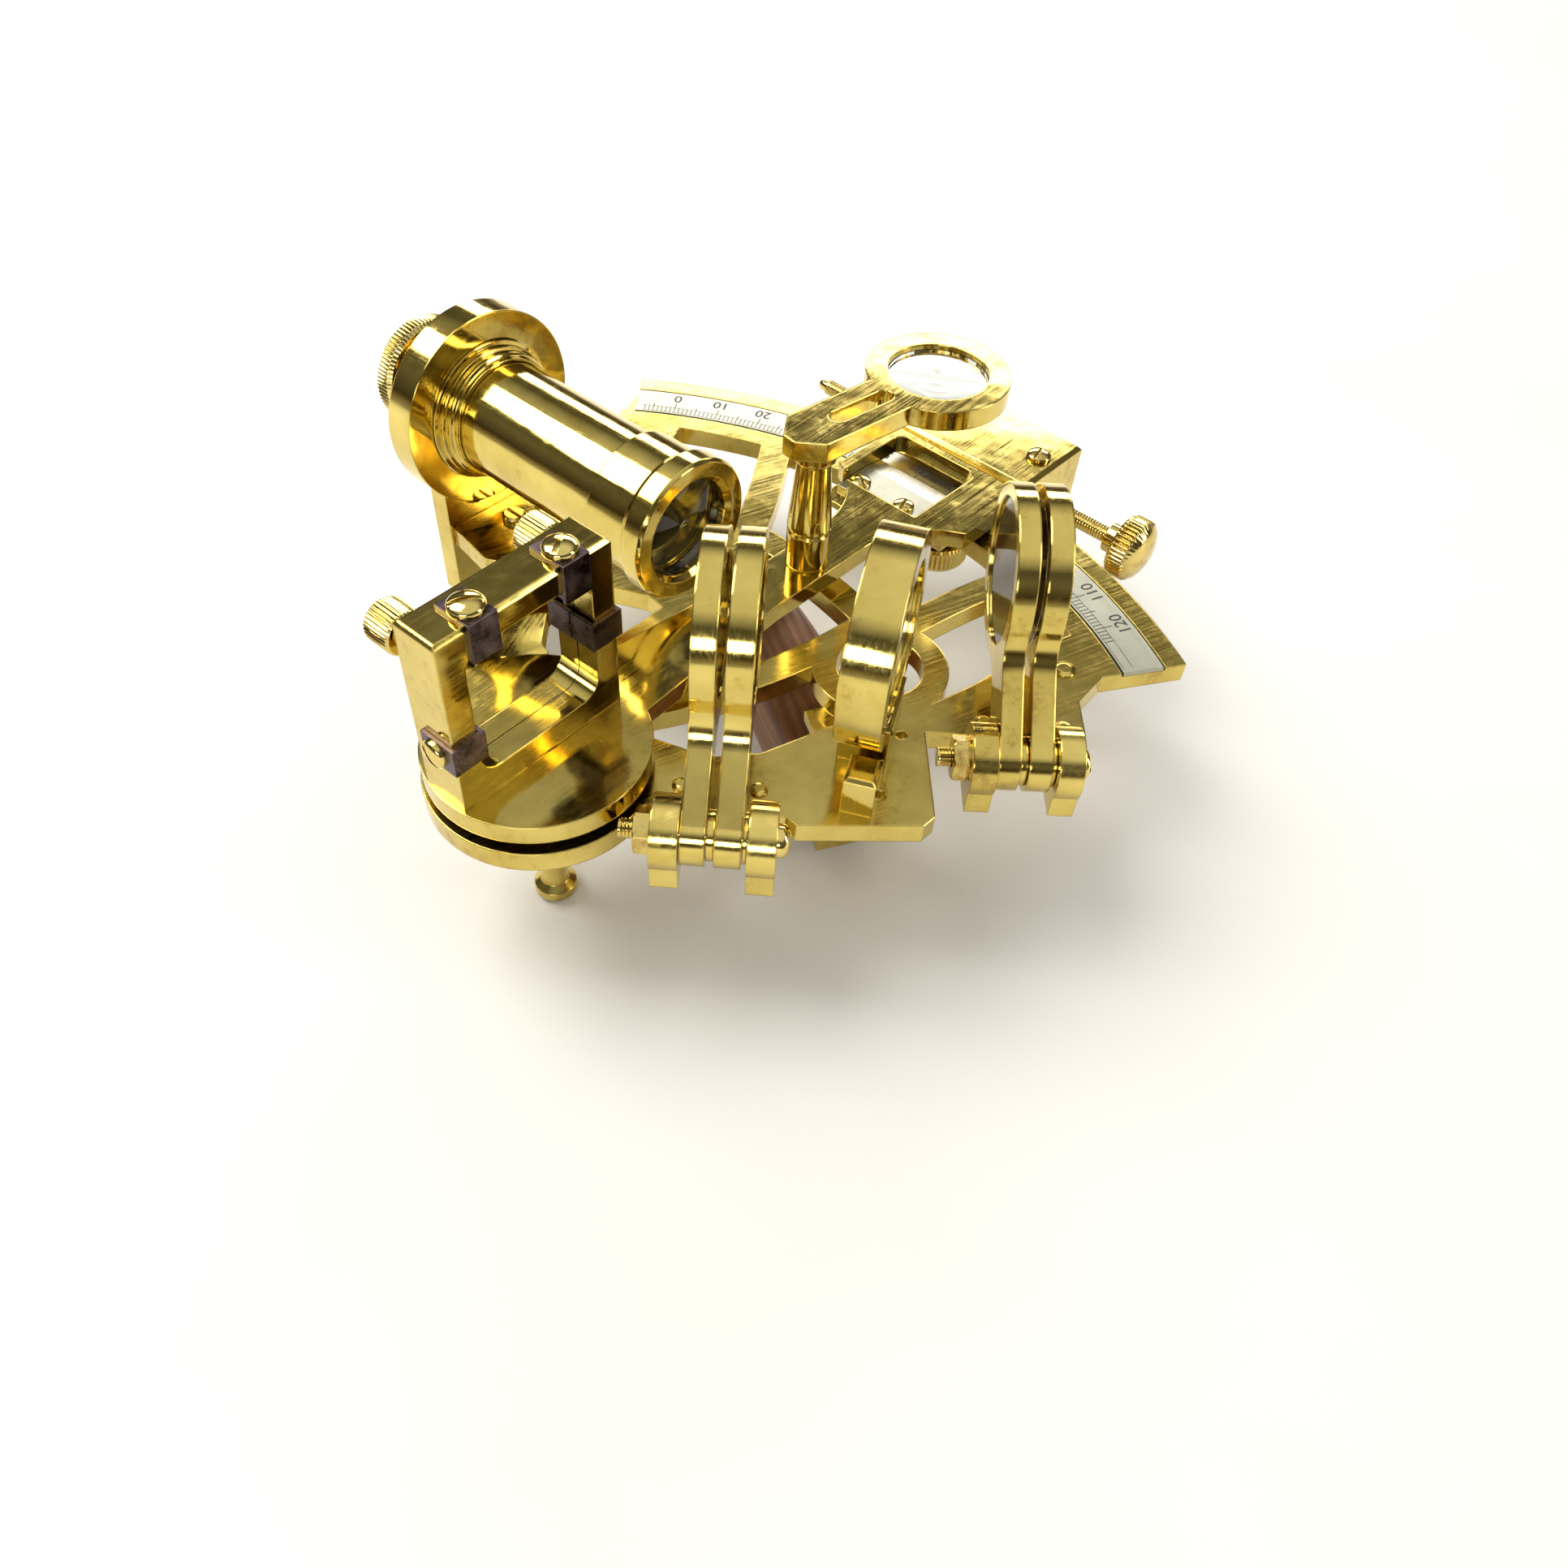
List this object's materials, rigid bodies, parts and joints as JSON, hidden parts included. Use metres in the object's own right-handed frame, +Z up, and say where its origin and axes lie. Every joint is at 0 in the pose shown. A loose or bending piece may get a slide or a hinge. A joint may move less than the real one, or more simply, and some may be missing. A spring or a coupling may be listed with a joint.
{
  "type": "nautical sextant",
  "caption": "Polished brass marine sextant with swinging index arm, mirror, tinted shades, telescope, magnifier and a pale arc scale.",
  "frame": {"origin": "on the index arm pivot axis, at the plane of the three feet", "axes": "+Z up out of the frame plate; +X from the pivot towards the 120-degree end of the arc, +Y towards the zero end; the telescope lies on the -X side"},
  "size_m": [0.1329, 0.1245, 0.065],
  "materials": {
    "brass": "polished",
    "brass_screws": "polished",
    "silvered_scale": "satin",
    "dark_steel": "blued",
    "clear_glass": "clear",
    "dark_glass": "tinted",
    "mirror_glass": "mirror",
    "handle_wood": "oiled"
  },
  "bodies": {
    "frame_body": {"bracket_screws": "brass_screws", "deck_rivets": "brass_screws", "eyepiece_barrel": "brass", "frame": "brass", "handle": "handle_wood", "handle_brackets": "brass", "handle_screws": "brass_screws", "horizon_block": "brass", "horizon_glass": "clear_glass", "horizon_ring": "brass", "horizon_shade_bolt": "brass_screws", "horizon_shade_bracket": "brass", "horizon_shade_nut": "brass", "horizon_shade_spacers": "brass", "index_shade_bolt": "brass_screws", "index_shade_bracket": "brass", "index_shade_nut": "brass", "index_shade_spacers": "brass", "leg_left": "brass", "leg_right": "brass", "objective_cell": "brass", "objective_lens": "clear_glass", "pivot_cup": "brass", "scale_strip": "silvered_scale", "telescope_bracket": "brass", "telescope_sleeve": "brass", "telescope_tube": "brass"},
    "index_arm_body": {"index_arm": "brass", "vernier_plate": "silvered_scale", "arm_screws": "brass_screws", "tangent_box": "brass", "clamp_block": "brass", "pivot_axle": "brass", "pivot_washer": "brass", "pivot_nut": "brass", "mirror_housing": "brass", "housing_screws": "brass_screws", "index_mirror": "mirror_glass", "mirror_clips": "dark_steel", "mirror_clip_screws": "brass_screws", "magnifier_post": "brass"},
    "clamp_screw_body": {"clamp_screw": "brass"},
    "tangent_screw_body": {"tangent_screw": "brass"},
    "mirror_knob_left_body": {"mirror_knob_left": "brass"},
    "mirror_knob_right_body": {"mirror_knob_right": "brass"},
    "magnifier_body": {"magnifier_arm": "brass", "magnifier_lens": "clear_glass"},
    "eyepiece_body": {"draw_tube": "brass", "eyepiece_ring": "brass", "eye_lens": "clear_glass"},
    "index_shade_1_body": {"index_shade_frame_1": "brass", "index_shade_glass_1": "dark_glass"},
    "index_shade_2_body": {"index_shade_frame_2": "brass", "index_shade_glass_2": "dark_glass"},
    "horizon_shade_1_body": {"horizon_shade_frame_1": "brass", "horizon_shade_glass_1": "dark_glass"},
    "horizon_shade_2_body": {"horizon_shade_frame_2": "brass", "horizon_shade_glass_2": "dark_glass"}
  },
  "joints": [
    {"name": "index_arm_swing", "type": "hinge", "parent": "frame_body", "child": "index_arm_body", "pos_m": [0, 0, 0.029], "axis": [0, 0, 1], "range_deg": [-11, 31]},
    {"name": "magnifier_swivel", "type": "hinge", "parent": "index_arm_body", "child": "magnifier_body", "pos_m": [0.0396, 0.0403, 0.0559], "axis": [0, 0, -1], "range_deg": [-36, 28]},
    {"name": "eyepiece_focus", "type": "slide", "parent": "frame_body", "child": "eyepiece_body", "axis": [-0.729, 0.6845, 0], "range_m": [-0.0004, 0.005]},
    {"name": "index_shade_1_hinge", "type": "hinge", "parent": "frame_body", "child": "index_shade_1_body", "pos_m": [0.0163, -0.0134, 0.0305], "axis": [0.9945, -0.1045, 0], "range_deg": [0, 120]},
    {"name": "index_shade_2_hinge", "type": "hinge", "parent": "frame_body", "child": "index_shade_2_body", "pos_m": [0.0163, -0.0134, 0.0305], "axis": [0.9945, -0.1045, 0], "range_deg": [0, 120]},
    {"name": "horizon_shade_1_hinge", "type": "hinge", "parent": "frame_body", "child": "horizon_shade_1_body", "pos_m": [0.0613, 0.0003, 0.0305], "axis": [0.9982, -0.0593, 0], "range_deg": [0, 120]},
    {"name": "horizon_shade_2_hinge", "type": "hinge", "parent": "frame_body", "child": "horizon_shade_2_body", "pos_m": [0.0613, 0.0003, 0.0305], "axis": [0.9982, -0.0593, 0], "range_deg": [0, 120]},
    {"name": "tangent_screw_turn", "type": "hinge", "parent": "index_arm_body", "child": "tangent_screw_body", "pos_m": [0.0743, 0.07561, 0.028], "axis": [-0.7133, 0.7009, 0], "continuous": true},
    {"name": "clamp_screw_turn", "type": "hinge", "parent": "index_arm_body", "child": "clamp_screw_body", "pos_m": [0.06659, 0.06776, 0.019], "axis": [0, 0, 1], "continuous": true},
    {"name": "mirror_knob_left_turn", "type": "hinge", "parent": "index_arm_body", "child": "mirror_knob_left_body", "pos_m": [-0.01208, -0.00659, 0.0585], "axis": [-0.7396, 0.673, 0], "continuous": true},
    {"name": "mirror_knob_right_turn", "type": "hinge", "parent": "index_arm_body", "child": "mirror_knob_right_body", "pos_m": [0.00407, 0.01116, 0.0585], "axis": [-0.7396, 0.673, 0], "continuous": true}
  ]
}
